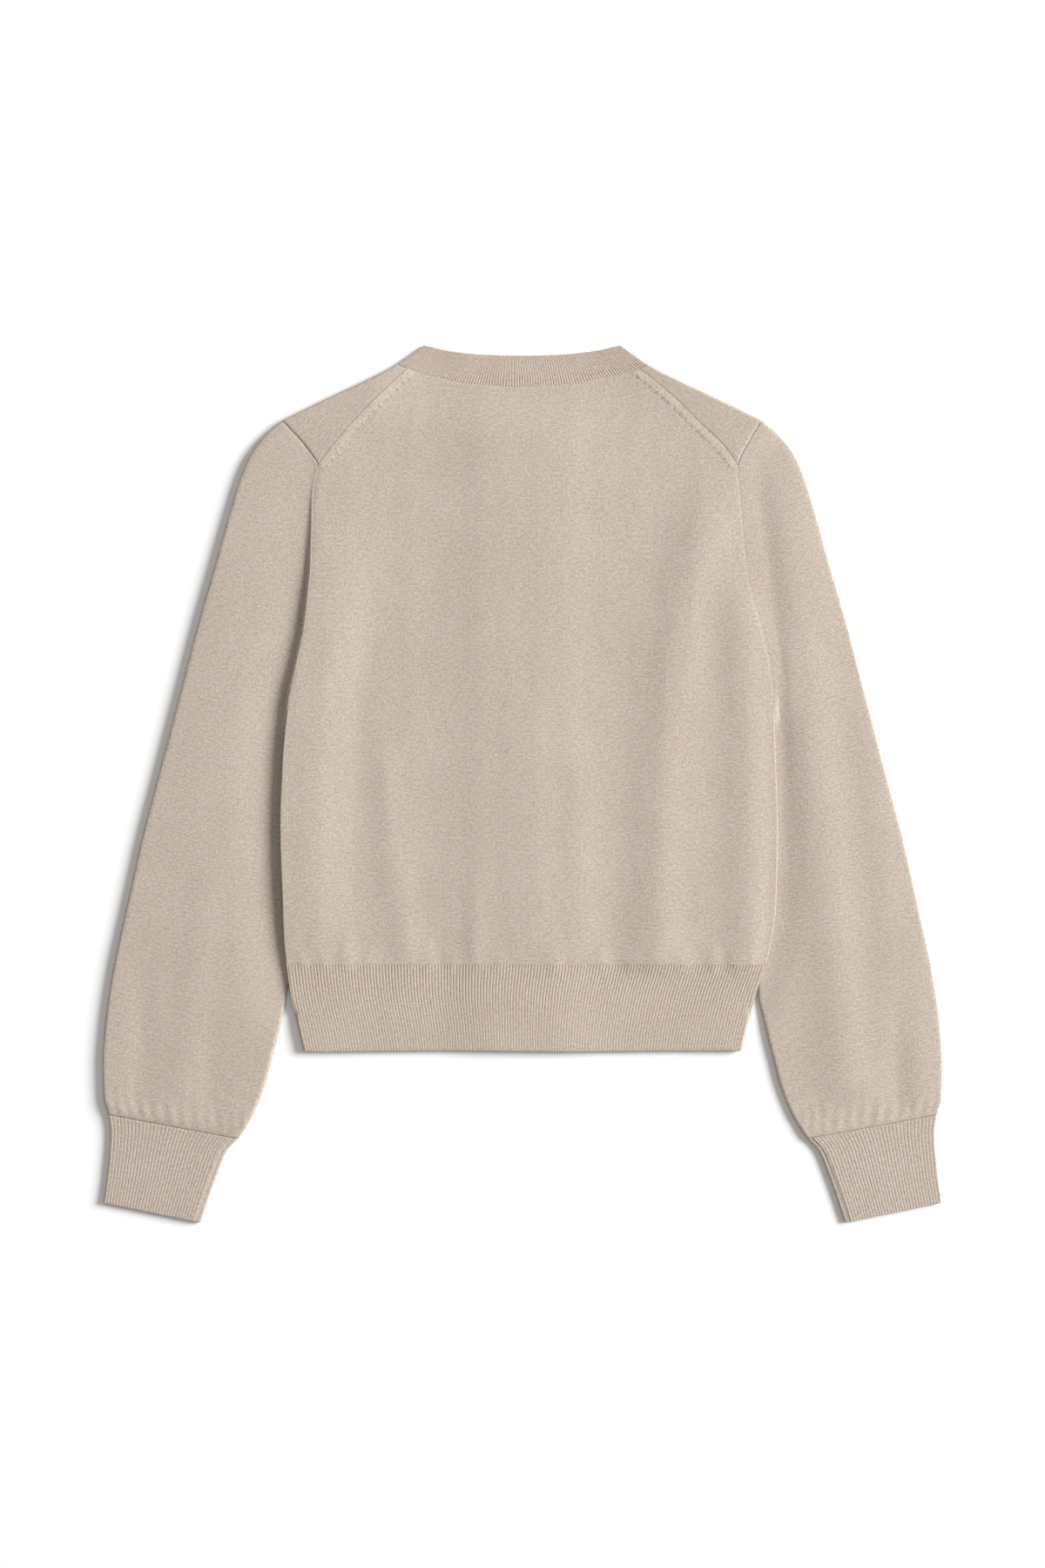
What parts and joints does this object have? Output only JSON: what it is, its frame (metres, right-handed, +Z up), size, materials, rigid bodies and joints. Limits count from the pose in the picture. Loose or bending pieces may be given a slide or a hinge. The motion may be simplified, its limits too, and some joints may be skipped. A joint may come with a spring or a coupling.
{
  "type": "cardigan",
  "caption": "Fine-knit round-neck cardigan with ribbed neckband, hem and cuffs, laid flat on its buttoned front with its back up.",
  "frame": {"origin": "under the middle of the garment's outline, on the surface it lies on", "axes": "+Y towards the neck, +X to the right as seen from above with the back up, +Z up out of the back"},
  "size_m": [0.6436, 0.6727, 0.0076],
  "materials": {
    "body_knit": "soft matte fine jersey knit in beige heather wool",
    "rib_knit": "soft matte one-by-one rib in beige heather wool",
    "button": "semi-gloss beige resin"
  },
  "bodies": {
    "root": {"back": "body_knit", "front_left": "body_knit", "front_right": "body_knit", "sleeve_left": "body_knit", "sleeve_right": "body_knit", "neckband": "rib_knit", "hem_back": "rib_knit", "hem_front_left": "rib_knit", "hem_front_right": "rib_knit", "cuff_left": "rib_knit", "cuff_right": "rib_knit", "button_band_left": "rib_knit", "button_band_right": "rib_knit", "button_1": "button", "button_2": "button", "button_3": "button", "button_4": "button", "button_5": "button", "button_6": "button", "button_7": "button", "button_8": "button"}
  },
  "joints": []
}
